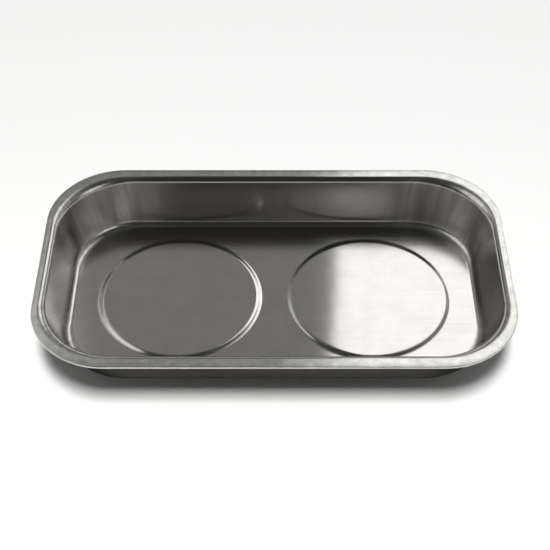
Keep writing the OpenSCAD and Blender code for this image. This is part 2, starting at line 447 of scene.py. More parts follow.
def moulded_rubber(colour):
    """Moulded black rubber: matt, with a fine grain and a greyish bloom in patches."""
    made = new_material("moulded_rubber")
    tree = made.node_tree
    place = add_node(tree, "ShaderNodeTexCoord").outputs["Object"]
    # Grain of the mould, about 0.4 mm
    grain = add_node(tree, "ShaderNodeTexNoise", {"Scale": 1 / (0.4 * MM), "Detail": 2}, {"Vector": place})
    bloom = add_node(tree, "ShaderNodeTexNoise", {"Scale": 1 / (9 * MM), "Detail": 4}, {"Vector": place})
    shade = add_node(tree, "ShaderNodeMix", shades(colour, 1, 1.9), {0: bloom.outputs[0]})
    gloss = add_node(
        tree, "ShaderNodeMapRange", {"To Min": 0.5, "To Max": 0.72}, {"Value": bloom.outputs[0]}
    )
    fine = add_node(tree, "ShaderNodeBump", {"Distance": 0.03 * MM}, {"Height": grain.outputs[0]})
    rubber = add_node(
        tree,
        "ShaderNodeBsdfPrincipled",
        {"IOR": 1.52},
        {"Base Color": shade.outputs[2], "Roughness": gloss.outputs[0], "Normal": fine.outputs[0]},
    )
    add_node(tree, "ShaderNodeOutputMaterial", None, {"Surface": rubber.outputs[0]})
    return made


def zinc_plated_pressing(colour):
    """Zinc on pressed sheet: a cloudy grey metal with the faint lines of the rolled sheet under it."""
    made = new_material("zinc_plated_pressing")
    tree = made.node_tree
    place = add_node(tree, "ShaderNodeTexCoord").outputs["Object"]
    clouds = add_node(tree, "ShaderNodeTexNoise", {"Scale": 1 / (7 * MM), "Detail": 5}, {"Vector": place})
    # Rolling lines, drawn 0.5 mm apart so that they show
    along = add_node(
        tree,
        "ShaderNodeMapping",
        {"Scale": (1 / (0.5 * MM), 1 / (16 * MM), 1 / (4 * MM))},
        {"Vector": place},
    )
    lines = add_node(tree, "ShaderNodeTexNoise", {"Scale": 1, "Detail": 2}, {"Vector": along.outputs[0]})
    shade = add_node(tree, "ShaderNodeMix", shades(colour, 0.7, 1), {0: clouds.outputs[0]})
    gloss = add_node(
        tree,
        "ShaderNodeMapRange",
        {"From Min": 0.3, "From Max": 0.7, "To Min": 0.3, "To Max": 0.46},
        {"Value": clouds.outputs[0]},
    )
    fine = add_node(tree, "ShaderNodeBump", {"Distance": 0.008 * MM}, {"Height": lines.outputs[0]})
    metal = add_node(
        tree,
        "ShaderNodeBsdfPrincipled",
        {"Metallic": 1},
        {"Base Color": shade.outputs[2], "Roughness": gloss.outputs[0], "Normal": fine.outputs[0]},
    )
    add_node(tree, "ShaderNodeOutputMaterial", None, {"Surface": metal.outputs[0]})
    return made


def zinc_plated_fastener(colour):
    """Barrel plated steel: bright bluish zinc that turns straw coloured in spots, with small dents."""
    made = new_material("zinc_plated_fastener")
    tree = made.node_tree
    place = add_node(tree, "ShaderNodeTexCoord").outputs["Object"]
    tint = add_node(tree, "ShaderNodeTexNoise", {"Scale": 1 / (2.5 * MM), "Detail": 3}, {"Vector": place})
    dents = add_node(tree, "ShaderNodeTexNoise", {"Scale": 1 / (0.7 * MM), "Detail": 2}, {"Vector": place})
    spots = add_node(
        tree, "ShaderNodeMapRange", {"From Min": 0.5, "From Max": 0.75}, {"Value": tint.outputs[0]}
    )
    straw = [colour[0], 0.93 * colour[1], 0.72 * colour[2], 1]
    shade = add_node(
        tree, "ShaderNodeMix", {"data_type": "RGBA", 6: list(colour) + [1], 7: straw}, {0: spots.outputs[0]}
    )
    gloss = add_node(
        tree,
        "ShaderNodeMapRange",
        {"From Min": 0.3, "From Max": 0.7, "To Min": 0.28, "To Max": 0.38},
        {"Value": dents.outputs[0]},
    )
    fine = add_node(tree, "ShaderNodeBump", {"Distance": 0.015 * MM}, {"Height": dents.outputs[0]})
    metal = add_node(
        tree,
        "ShaderNodeBsdfPrincipled",
        {"Metallic": 1},
        {"Base Color": shade.outputs[2], "Roughness": gloss.outputs[0], "Normal": fine.outputs[0]},
    )
    add_node(tree, "ShaderNodeOutputMaterial", None, {"Surface": metal.outputs[0]})
    return made


def moulded_nylon(colour):
    """Natural nylon: a waxy ivory plastic, slightly uneven where it was squeezed."""
    made = new_material("moulded_nylon")
    tree = made.node_tree
    place = add_node(tree, "ShaderNodeTexCoord").outputs["Object"]
    uneven = add_node(tree, "ShaderNodeTexNoise", {"Scale": 1 / (1.2 * MM), "Detail": 3}, {"Vector": place})
    shade = add_node(tree, "ShaderNodeMix", shades(colour, 0.82, 1), {0: uneven.outputs[0]})
    gloss = add_node(
        tree, "ShaderNodeMapRange", {"To Min": 0.3, "To Max": 0.48}, {"Value": uneven.outputs[0]}
    )
    fine = add_node(tree, "ShaderNodeBump", {"Distance": 0.02 * MM}, {"Height": uneven.outputs[0]})
    plastic = add_node(
        tree,
        "ShaderNodeBsdfPrincipled",
        {"IOR": 1.53},
        {"Base Color": shade.outputs[2], "Roughness": gloss.outputs[0], "Normal": fine.outputs[0]},
    )
    add_node(tree, "ShaderNodeOutputMaterial", None, {"Surface": plastic.outputs[0]})
    return made


def sintered_ferrite(colour):
    """Sintered and ground ferrite: a dark grey ceramic with a dull sheen, fine pores and paler clouds."""
    made = new_material("sintered_ferrite")
    tree = made.node_tree
    place = add_node(tree, "ShaderNodeTexCoord").outputs["Object"]
    # Pores of about 0.05 mm, drawn 0.5 mm wide so that they show
    pores = add_node(tree, "ShaderNodeTexVoronoi", {"Scale": 1 / (0.5 * MM)}, {"Vector": place})
    clouds = add_node(tree, "ShaderNodeTexNoise", {"Scale": 1 / (12 * MM), "Detail": 5}, {"Vector": place})
    shade = add_node(tree, "ShaderNodeMix", shades(colour, 0.7, 1.2), {0: clouds.outputs[0]})
    gloss = add_node(
        tree, "ShaderNodeMapRange", {"To Min": 0.45, "To Max": 0.65}, {"Value": clouds.outputs[0]}
    )
    fine = add_node(tree, "ShaderNodeBump", {"Distance": 0.02 * MM}, {"Height": pores.outputs[0]})
    ceramic = add_node(
        tree,
        "ShaderNodeBsdfPrincipled",
        {"IOR": 2.3},
        {"Base Color": shade.outputs[2], "Roughness": gloss.outputs[0], "Normal": fine.outputs[0]},
    )
    add_node(tree, "ShaderNodeOutputMaterial", None, {"Surface": ceramic.outputs[0]})
    return made


def closed_cell_foam(colour):
    """Die cut closed cell foam: soft black, with small cells that catch the light."""
    made = new_material("closed_cell_foam")
    tree = made.node_tree
    place = add_node(tree, "ShaderNodeTexCoord").outputs["Object"]
    # Cells of about 0.2 mm, drawn 0.4 mm wide so that they show
    cells = add_node(tree, "ShaderNodeTexVoronoi", {"Scale": 1 / (0.4 * MM)}, {"Vector": place})
    shade = add_node(tree, "ShaderNodeMix", shades(colour, 0.7, 1.5), {0: cells.outputs["Distance"]})
    gloss = add_node(
        tree, "ShaderNodeMapRange", {"To Min": 0.75, "To Max": 0.95}, {"Value": cells.outputs[0]}
    )
    fine = add_node(tree, "ShaderNodeBump", {"Distance": 0.08 * MM}, {"Height": cells.outputs[0]})
    foam = add_node(
        tree,
        "ShaderNodeBsdfPrincipled",
        {"IOR": 1.5},
        {"Base Color": shade.outputs[2], "Roughness": gloss.outputs[0], "Normal": fine.outputs[0]},
    )
    add_node(tree, "ShaderNodeOutputMaterial", None, {"Surface": foam.outputs[0]})
    return made


def start_mesh(name):
    """An empty mesh object at the origin, open in edit mode, with nothing else selected."""
    if bpy.context.object and bpy.context.object.mode != "OBJECT":
        bpy.ops.object.mode_set(mode="OBJECT")
    bpy.ops.object.select_all(action="DESELECT")
    bpy.ops.mesh.primitive_plane_add(size=1)
    made = bpy.context.object
    made.name = name
    made.data.name = name
    bpy.ops.object.mode_set(mode="EDIT")
    bpy.ops.mesh.select_mode(type="EDGE")
    bpy.ops.mesh.delete(type="VERT")
    return made


def select_loops(piece, *loops):
    """Select the edges of these loops, and nothing else."""
    bpy.ops.mesh.select_all(action="DESELECT")
    edited = bmesh.from_edit_mesh(piece.data)
    edited.edges.ensure_lookup_table()
    for number in (number for loop in loops for number in loop):
        edited.edges[number].select_set(True)
    bmesh.update_edit_mesh(piece.data, loop_triangles=False, destructive=False)


def select_open_edges(piece, height):
    """Select the edges at one height that border a single face, and nothing else."""
    bpy.ops.mesh.select_all(action="DESELECT")
    edited = bmesh.from_edit_mesh(piece.data)
    for edge in edited.edges:
        level = all(abs(v.co.z - height) < 1e-6 for v in edge.verts)
        edge.select_set(edge.is_boundary and level)
    bmesh.update_edit_mesh(piece.data, loop_triangles=False, destructive=False)


def newest_edges(piece, count):
    """Numbers of the edges that were added last."""
    total = len(bmesh.from_edit_mesh(piece.data).edges)
    return range(total - count, total)


def round_corner_loop(piece, half_x, half_y, radius, height):
    """Add a loop of edges: a rectangle with round corners and divided straights."""
    bpy.ops.mesh.select_all(action="DESELECT")
    bpy.ops.mesh.primitive_plane_add(size=1, location=(0, 0, height))
    bpy.ops.transform.resize(value=(2 * half_x, 2 * half_y, 1))
    bpy.ops.mesh.bevel(affect="VERTICES", offset=radius, segments=CORNER_STEPS)
    bpy.ops.mesh.delete(type="ONLY_FACE")
    loop = newest_edges(piece, 4 * (CORNER_STEPS + 1))
    edited = bmesh.from_edit_mesh(piece.data)
    edited.edges.ensure_lookup_table()
    arc_step = 2 * radius / CORNER_STEPS
    select_loops(piece, [i for i in loop if edited.edges[i].calc_length() > arc_step])
    bpy.ops.mesh.subdivide(number_cuts=STRAIGHT_CUTS)
    return newest_edges(piece, LOOP_POINTS)


def circle_loop(piece, centre_x, radius, height, steps=ROUND_STEPS):
    """Add a circle of edges about a vertical axis."""
    bpy.ops.mesh.primitive_circle_add(vertices=steps, radius=radius, location=(centre_x, 0, height))
    return newest_edges(piece, steps)


def bridge(piece, loops, heights, closed=False):
    """Join each loop to the next by a band of faces, then bring the loops to their heights.

    The loops are made far apart, because Blender can't pair loops that lie in one plane.
    """
    for first, second in zip(loops, loops[1:]):
        select_loops(piece, first, second)
        bpy.ops.mesh.bridge_edge_loops()
    if closed:
        select_loops(piece, loops[-1], loops[0])
        bpy.ops.mesh.bridge_edge_loops()
    edited = bmesh.from_edit_mesh(piece.data)
    edited.edges.ensure_lookup_table()
    for loop, height in zip(loops, heights):
        for point in (v for i in loop for v in edited.edges[i].verts):
            point.co.z = height
    bmesh.update_edit_mesh(piece.data)


def lathe(piece, centre_x, section, closed=False, steps=ROUND_STEPS):
    """Turn a section of (radius, height) about a vertical axis, and return its loops."""
    loops = [circle_loop(piece, centre_x, r, i * LOOP_GAP, steps) for i, (r, _) in enumerate(section)]
    bridge(piece, loops, [z for _, z in section], closed)
    return loops


def arc(centre, radius, start, end, steps):
    """Points along an arc in a section, with angles in degrees."""
    turns = [math.radians(start + (end - start) * i / steps) for i in range(steps + 1)]
    return [(centre[0] + radius * math.cos(a), centre[1] + radius * math.sin(a)) for a in turns]


def sheet_section(s):
    """The dish's section from the floor over the rim and back below.

    Each row holds the inset from the rim's edge, the height, the way down and the zone. The way down runs
    from -1 to 0 round the bend, from 0 to 1 down the wall and from 1 to 2 round the floor fillet.
    """
    lean = math.degrees(s.wall_lean)
    top = DISH_HIGH.z
    floor = DISH_LOW.z + s.sheet
    bend_centre = (s.rim_flat, top - s.rim_bend)
    wall_top = arc(bend_centre, s.rim_bend, lean, lean, 1)[0]
    foot_height = floor + s.fillet * (1 - math.sin(s.wall_lean))
    foot_inset = wall_top[0] + (wall_top[1] - foot_height) * math.tan(s.wall_lean)
    fillet_centre = (foot_inset + s.fillet * math.cos(s.wall_lean), floor + s.fillet)
    edge = top - s.crown
    hem_upper = (s.hem_edge, edge - s.hem_edge)
    hem_soft = 0.08 * MM
    hem_back = edge - 2 * s.sheet
    hem_lower = (s.hem_edge, hem_back + s.hem_edge)
    crown = [i / CROWN_STEPS for i in range(CROWN_STEPS + 1)]
    wall_shares = [0.03, 0.2, 0.4, 0.6, 0.8, 0.97]

    def wall(start, end):
        """Rows down the wall, each with its share of the way."""
        return [(*(a + (b - a) * t for a, b in zip(start, end)), t) for t in wall_shares]

    inner_fillet = arc(fillet_centre, s.fillet, -90, lean - 180, BEND_STEPS)
    inner_bend = arc(bend_centre, s.rim_bend, lean, 90, BEND_STEPS)
    outer_bend = arc(bend_centre, s.rim_bend - s.sheet, 90, lean, BACK_STEPS)
    outer_fillet = arc(fillet_centre, s.fillet + s.sheet, lean - 180, -90, BEND_STEPS)
    section = [(fillet_centre[0] + LEVEL_STRIP, floor, 2, "floor")]
    section += [(a, z, 2 - i / BEND_STEPS, "wall") for i, (a, z) in enumerate(inner_fillet)]
    section += [(a, z, 1 - t, "wall") for a, z, t in wall(inner_fillet[-1], inner_bend[0])]
    section += [(a, z, -i / BEND_STEPS, "wall") for i, (a, z) in enumerate(inner_bend[:-1])]
    section += [
        (s.rim_flat + (s.hem_edge - s.rim_flat) * t, top - s.crown * t * t, -1, "rim") for t in crown
    ]
    section += [(a, z, -1, "rim") for a, z in arc(hem_upper, s.hem_edge, 84, 180, 5)]
    section += [(a, z, -1, "rim") for a, z in arc(hem_lower, s.hem_edge, 180, 270, 5)]
    section += [(s.hem - hem_soft, hem_back, -1, "underside")]
    section += [(s.hem, hem_back + hem_soft, -1, "underside")]
    section += [(s.hem, top - s.sheet, -1, "underside")]
    section += [(a, z, i / BACK_STEPS - 1, "underside") for i, (a, z) in enumerate(outer_bend)]
    section += [(a, z, t, "underside") for a, z, t in wall(outer_bend[-1], outer_fillet[0])]
    section += [(a, z, 1 + i / BEND_STEPS, "underside") for i, (a, z) in enumerate(outer_fillet)]
    section += [(fillet_centre[0] + LEVEL_STRIP, DISH_LOW.z, 2, "underside")]
    return section


def plateau_section(s, radius):
    """A plateau's step from the floor up to its top, and back below: radius, height."""
    floor = DISH_LOW.z + s.sheet
    angle = 2 * math.atan(s.step_rise / s.step_width)
    bend = s.step_width / (2 * math.sin(angle))
    turn = math.degrees(angle)
    crest = (radius - s.step_width, floor + s.step_rise - bend)
    foot = (radius, floor + bend)
    above = [(radius + LEVEL_STRIP, floor)]
    above += arc(foot, bend, 270, 270 - turn, PLATEAU_STEPS)
    above += arc(crest, bend, 90 - turn, 90, PLATEAU_STEPS)[1:]
    above += [(radius - s.step_width - LEVEL_STRIP, floor + s.step_rise)]
    below = [(radius + LEVEL_STRIP, DISH_LOW.z)]
    below += arc(foot, bend + s.sheet, 270, 270 - turn, PLATEAU_STEPS)
    below += arc(crest, bend - s.sheet, 90 - turn, 90, PLATEAU_STEPS)[1:]
    below += [(radius - s.step_width - LEVEL_STRIP, floor + s.step_rise - s.sheet)]
    return above, below


def finish_mesh(piece, smooth_angle):
    """Turn the faces outwards, leave edit mode and shade smooth up to an angle."""
    bpy.ops.mesh.select_all(action="SELECT")
    bpy.ops.mesh.normals_make_consistent(inside=False)
    bpy.ops.mesh.select_all(action="DESELECT")
    bpy.ops.object.mode_set(mode="OBJECT")
    bpy.ops.object.shade_smooth_by_angle(angle=math.radians(smooth_angle))


def shape_loop(piece, loop, change):
    """Change the place of each point of a loop of edges."""
    edited = bmesh.from_edit_mesh(piece.data)
    edited.edges.ensure_lookup_table()
    for point in {v for i in loop for v in edited.edges[i].verts}:
        change(point)
    bmesh.update_edit_mesh(piece.data)


def copy_to_left(piece):
    """A copy of a right-hand piece at the left magnet, with its own mesh."""
    bpy.ops.object.select_all(action="DESELECT")
    piece.select_set(True)
    bpy.context.view_layer.objects.active = piece
    bpy.ops.object.duplicate()
    made = bpy.context.object
    made.name = piece.name.replace("right", "left")
    made.data.name = made.name
    bpy.ops.object.mode_set(mode="EDIT")
    bpy.ops.mesh.select_all(action="SELECT")
    bpy.ops.transform.translate(value=(-2 * MAGNET_X, 0, 0))
    bpy.ops.mesh.select_all(action="DESELECT")
    bpy.ops.object.mode_set(mode="OBJECT")
    return made


def finish_pair(piece, node, material, smooth_angle=40):
    """Finish a right-hand piece and its copy on the left, which stand for a pair of CAD nodes."""
    finish_mesh(piece, smooth_angle)
    piece.data.materials.append(material)
    pair = {"right": piece, "left": copy_to_left(piece)}
    for side, one in pair.items():
        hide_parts(f"{side}_{node}")
        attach(one, "root")
    return pair.values()


class PARTSTRAY_OT_dish(bpy.types.Operator):
    """Model the pressed dish with its rim, walls, floor and plateaus"""

    bl_idname = "partstray.dish"
    bl_label = "Dish"

    def execute(self, context):
        s = context.scene.parts_tray_dish
        half_x = DISH_HIGH.x
        half_y = DISH_HIGH.y
        piece = start_mesh("pressed_dish")
        section = sheet_section(s)
        loops = []
        for i, (inset, _, down, _) in enumerate(section):
            bent = 1 + min(down, 0)
            drawn = min(1, max(down, 0))
            sunk = max(down - 1, 0)
            ease = s.bend_share * bent + (1 - s.bend_share) * drawn
            radius = s.rim_corner - inset + ease * s.corner_ease + sunk * sunk * s.fillet_ease
            across = min(1, max(0, (inset - s.hem_edge) / (s.rim_flat - s.hem_edge)))
            side_inset = inset + across * (s.side_flat - s.rim_flat)
            height = i * LOOP_GAP
            loops.append(round_corner_loop(piece, half_x - inset, half_y - side_inset, radius, height))
        bridge(piece, loops, [row[1] for row in section])
        radius = BOOT_HIGH.x - MAGNET_X + s.recess_gap + s.step_width
        for level in plateau_section(s, radius):
            for centre in (-MAGNET_X, MAGNET_X):
                rings = lathe(piece, centre, level)
                select_loops(piece, rings[-1])
                bpy.ops.mesh.edge_face_add()
        for height in (section[0][1], section[-1][1]):
            select_open_edges(piece, height)
            bpy.ops.mesh.fill(use_beauty=True)
        finish_mesh(piece, smooth_angle=35)
        # The larger faces lead the shading, so that the straights stay flat up to the corners
        bpy.ops.object.modifier_add(type="WEIGHTED_NORMAL")
        piece.modifiers[-1].keep_sharp = True
        bpy.ops.object.modifier_apply(modifier=piece.modifiers[-1].name)
        self.mark_zones(piece, section)
        self.add_maps(piece, section, s)
        steel = s.steel[:]
        piece.data.materials.append(brushed_stainless_floor(steel))
        piece.data.materials.append(drawn_stainless_wall(steel))
        piece.data.materials.append(satin_stainless_rim(s.rim_steel[:]))
        # The underside's steel is painted dark, a painted reflection of the shadowed floor
        piece.data.materials.append(underside_stainless_painted_dark(steel))
        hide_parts("dish")
        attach(piece, "root")
        return {"FINISHED"}

    def mark_zones(self, piece, section):
        """Give each face the finish of its zone."""
        bands = [ZONES.index(zone) for *_, zone in section]
        for face in piece.data.polygons:
            number = min(face.vertices) // LOOP_POINTS
            if max(face.vertices) < LOOP_POINTS * len(section) and len(face.vertices) == 4:
                face.material_index = bands[number]
            else:
                face.material_index = ZONES.index("floor" if face.normal.z > 0 else "underside")

    def add_maps(self, piece, section, s):
        """Lay the brush direction, and the columns that the die lines follow, on the mesh.

        The lines drift a little with the height, so that they change on their way down.
        """
        mesh = piece.data
        per_metre = 5
        drift = 0.1
        brush = mesh.uv_layers.new(name="across_brush")
        for loop in mesh.loops:
            place = mesh.vertices[loop.vertex_index].co
            brush.data[loop.index].uv = (place.y * per_metre, place.x * per_metre)
        mesh.attributes.new("draw_line", "FLOAT_VECTOR", "POINT")
        mesh.attributes.new("corner", "FLOAT", "POINT")
        column = mesh.attributes["draw_line"]
        corner = mesh.attributes["corner"]
        top_ring = next(i for i, row in enumerate(section) if row[3] == "rim") * LOOP_POINTS
        start_x = DISH_HIGH.x - s.rim_corner
        start_y = DISH_HIGH.y - s.rim_corner
        for point in mesh.vertices:
            if point.index >= LOOP_POINTS * len(section):
                continue
            top = mesh.vertices[top_ring + point.index % LOOP_POINTS].co
            column.data[point.index].vector = (top.x, top.y, drift * point.co.z)
            out = max(start_x - abs(top.x), start_y - abs(top.y), 0)
            corner.data[point.index].value = max(0, 1 - out / CORNER_FADE)


class PARTSTRAY_OT_boots(bpy.types.Operator):
    """Model the rubber boots round the magnets"""

    bl_idname = "partstray.boots"
    bl_label = "Rubber boots"

    def execute(self, context):
        s = context.scene.parts_tray_boot
        piece = start_mesh("right_moulded_boot")
        lathe(piece, MAGNET_X, self.section(s, BOOT_HIGH.x - MAGNET_X, BOOT_HIGH.z), closed=True)
        finish_pair(piece, "rubber_boot", moulded_rubber(s.rubber[:]))
        return {"FINISHED"}

    def section(self, s, outer, top):
        """The boot's closed section: base with grooves, wall and lip."""
        soft = 0.25 * MM
        pitch = (outer - s.edge - s.window) / (s.groove_count + 2)
        points = arc((s.window + soft, soft), soft, 180, 270, 4)
        for i in range(s.groove_count):
            middle = s.window + (i + 1) * pitch
            half = s.groove_width / 2
            points += arc((middle - half - soft, soft), soft, 270, 360, 3)
            points += [(middle - half, s.groove_depth - soft)]
            points += arc((middle - half + soft, s.groove_depth - soft), soft, 180, 90, 3)[1:]
            points += arc((middle + half - soft, s.groove_depth - soft), soft, 90, 0, 3)
            points += arc((middle + half + soft, soft), soft, 180, 270, 3)
        points += arc((outer - s.edge, s.edge), s.edge, 270, 360, 8)
        rim = 0.4 * MM
        points += arc((outer - rim, top - rim), rim, 0, 90, 5)
        inner = outer - s.wall
        lip = inner - s.lip
        points += arc((lip + soft, top - soft), soft, 90, 180, 4)
        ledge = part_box("right_ring_magnet")[1].z
        points += [(lip, ledge), (inner, ledge)]
        points += [(inner, s.base), (s.window + soft, s.base), (s.window, s.base - soft)]
        return points


class PARTSTRAY_OT_plates(bpy.types.Operator):
    """Model the backing plates under the magnets, each with a well for its nut"""

    bl_idname = "partstray.plates"
    bl_label = "Backing plates"

    def execute(self, context):
        s = context.scene.parts_tray_plate
        low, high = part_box("right_backing_plate")
        outer = high.x - MAGNET_X
        well_top = (s.well - s.bend - s.sheet, high.z - s.bend - s.sheet)
        well_foot = (s.well + s.bend, low.z + s.sheet + s.bend)
        soft = 0.15 * MM
        section = arc((s.hole + soft, high.z - s.sheet + soft), soft, 180, 270, 3)
        section += arc(well_top, s.bend, 90, 0, 6)
        section += arc(well_foot, s.bend + s.sheet, 180, 270, 8)
        section += arc((outer - soft, low.z + soft), soft, 270, 360, 3)
        section += arc((outer - soft, low.z + s.sheet - soft), soft, 0, 90, 3)
        section += arc(well_foot, s.bend, 270, 180, 6)
        section += arc(well_top, s.bend + s.sheet, 0, 90, 8)
        section += arc((s.hole + soft, high.z - soft), soft, 90, 180, 3)
        piece = start_mesh("right_pressed_plate")
        lathe(piece, MAGNET_X, section, closed=True)
        finish_pair(piece, "backing_plate", zinc_plated_pressing(s.zinc[:]))
        return {"FINISHED"}


class PARTSTRAY_OT_studs(bpy.types.Operator):
    """Model the threaded studs that are welded under the dish"""

    bl_idname = "partstray.studs"
    bl_label = "Weld studs"

    def execute(self, context):
        s = context.scene.parts_tray_stud
        low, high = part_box("right_weld_stud")
        foot = high.x - MAGNET_X
        foot_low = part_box("right_foam_pad")[0].z
        cut = s.pitch / CUTS_PER_TURN
        count = math.ceil((foot_low - low.z) / cut)
        soft = 0.15 * MM
        steepness = 1.35
        crest = 0.2
        section = [(s.thread, low.z + i * cut) for i in range(count)]
        section += [(s.thread, foot_low)]
        section += arc((foot - soft, foot_low + soft), soft, 270, 360, 3)
        section += [(foot, high.z)]
        piece = start_mesh("right_threaded_stud")
        loops = lathe(piece, MAGNET_X, section, steps=THREAD_STEPS)

        def cut_thread(point):
            """Draw a point in along a helix, with a chamfer at the end and a run-out at the foot."""
            turn = math.atan2(point.co.y, point.co.x - MAGNET_X) / (2 * math.pi)
            side = abs(2 * ((point.co.z / s.pitch - turn) % 1) - 1)
            run_out = min(1, max(0, (foot_low - point.co.z) / s.pitch - 1))
            groove = min(1, max(0, steepness * side - crest)) * run_out
            radius = min(s.thread - s.depth * groove, s.thread - s.lead + point.co.z - low.z)
            point.co.x = MAGNET_X + (point.co.x - MAGNET_X) * radius / s.thread
            point.co.y *= radius / s.thread

        for loop in loops[:count]:
            shape_loop(piece, loop, cut_thread)
        for end in (loops[0], loops[-1]):
            select_loops(piece, end)
            bpy.ops.mesh.edge_face_add()
        finish_pair(piece, "weld_stud", zinc_plated_fastener(s.zinc[:]))
        return {"FINISHED"}


class PARTSTRAY_OT_nuts(bpy.types.Operator):
    """Model the washers, the lock nuts and the nylon rings in them"""

    bl_idname = "partstray.nuts"
    bl_label = "Lock nuts and washers"

    def execute(self, context):
        s = context.scene.parts_tray_nut
        zinc = zinc_plated_fastener(s.zinc[:])
        self.model_washer(s, zinc)
        self.model_nut(s, zinc)
        self.model_ring(s)
        return {"FINISHED"}

    def model_washer(self, s, zinc):
        """A punched washer, rounded on the side that the punch went in."""
        low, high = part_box("right_washer")
        outer = high.x - MAGNET_X
        sharp = 0.08 * MM
        rolled = 0.25 * MM
        section = arc((s.hole + rolled, low.z + rolled), rolled, 180, 270, 4)
        section += arc((outer - rolled, low.z + rolled), rolled, 270, 360, 4)
        section += arc((outer - sharp, high.z - sharp), sharp, 0, 90, 2)
        section += arc((s.hole + sharp, high.z - sharp), sharp, 90, 180, 2)
        piece = start_mesh("right_punched_washer")
        lathe(piece, MAGNET_X, section, closed=True, steps=NUT_STEPS)
        finish_pair(piece, "washer", zinc)

    def model_nut(self, s, zinc):
        """A hexagon with its corners cut by a cone, and a collar that is rolled in at its mouth."""
        low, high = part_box("right_lock_nut")
        ring_low, ring_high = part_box("right_nut_insert")
        ring = ring_high.x - MAGNET_X
        flat = high.y
        face = flat - 0.05 * MM
        shoulder = low.z + s.collar_height
        soft = 0.1 * MM
        lead = 0.2 * MM
        roll = 0.5 * MM
        cone = math.radians(30)
        hexagon = [(flat - soft, high.z), (flat, high.z - soft), (flat, shoulder)]
        section = [(s.bore, high.z - lead), (s.bore + lead, high.z)] + hexagon
        section += [(face, shoulder), (s.collar + lead, shoulder)]
        section += arc((s.collar + lead, shoulder - lead), lead, 120, 180, 3)
        section += arc((s.collar - roll, low.z + roll), roll, 0, -90, 6)
        section += arc((s.mouth + soft, low.z + soft), soft, 270, 180, 3)
        section += [(s.mouth, ring_low.z), (ring, ring_low.z), (ring, ring_high.z), (s.bore, ring_high.z)]
        piece = start_mesh("right_hexagon_lock_nut")
        loops = lathe(piece, MAGNET_X, section, closed=True, steps=NUT_STEPS)

        def press_out(point):
            """Move a point out to the sides of a hexagon whose corners lie along X."""
            turn = math.atan2(point.co.y, point.co.x - MAGNET_X) % (math.pi / 3)
            grow = 1 / math.cos(turn - math.pi / 6)
            point.co.x = MAGNET_X + (point.co.x - MAGNET_X) * grow
            point.co.y *= grow

        def cut_corner(point):
            """Raise a point to the cone that cuts the hexagon's corners."""
            out = math.hypot(point.co.x - MAGNET_X, point.co.y)
            point.co.z += (out - face) * math.tan(cone)

        for loop in loops[2:5]:
            shape_loop(piece, loop, press_out)
        shape_loop(piece, loops[4], cut_corner)
        finish_pair(piece, "lock_nut", zinc, smooth_angle=30)

    def model_ring(self, s):
        """The nylon ring that grips the thread."""
        low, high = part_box("right_nut_insert")
        outer = high.x - MAGNET_X
        soft = 0.15 * MM
        section = arc((s.bore + soft, low.z + soft), soft, 180, 270, 4)
        section += [(outer, low.z), (outer, high.z)]
        section += arc((s.bore + soft, high.z - soft), soft, 90, 180, 4)
        piece = start_mesh("right_nylon_ring")
        lathe(piece, MAGNET_X, section, closed=True, steps=NUT_STEPS)
        finish_pair(piece, "nut_insert", moulded_nylon(s.nylon[:]))


class PARTSTRAY_OT_magnets(bpy.types.Operator):
    """Finish the ring magnets and model the foam pads that lie on them"""

    bl_idname = "partstray.magnets"
    bl_label = "Magnets and pads"

    def execute(self, context):
        s = context.scene.parts_tray_magnet
        ferrite = sintered_ferrite(s.ferrite[:])
        for side in SIDES:
            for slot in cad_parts[f"{side}_ring_magnet"].material_slots:
                slot.material = ferrite
        low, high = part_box("right_foam_pad")
        outer = high.x - MAGNET_X
        middle = (low.z + high.z) / 2
        half = (high.z - low.z) / 2
        edge = [math.radians(a) for a in range(-90, 91, 30)]
        section = [(outer - s.bulge * (1 - math.cos(a)), middle + half * math.sin(a)) for a in edge]
        section += [(s.pad_bore + s.bulge * (1 - math.cos(a)), middle - half * math.sin(a)) for a in edge]
        piece = start_mesh("right_foam_ring")
        lathe(piece, MAGNET_X, section, closed=True)
        for ring in finish_pair(piece, "foam_pad", closed_cell_foam(s.foam[:]), smooth_angle=60):
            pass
        return {"FINISHED"}


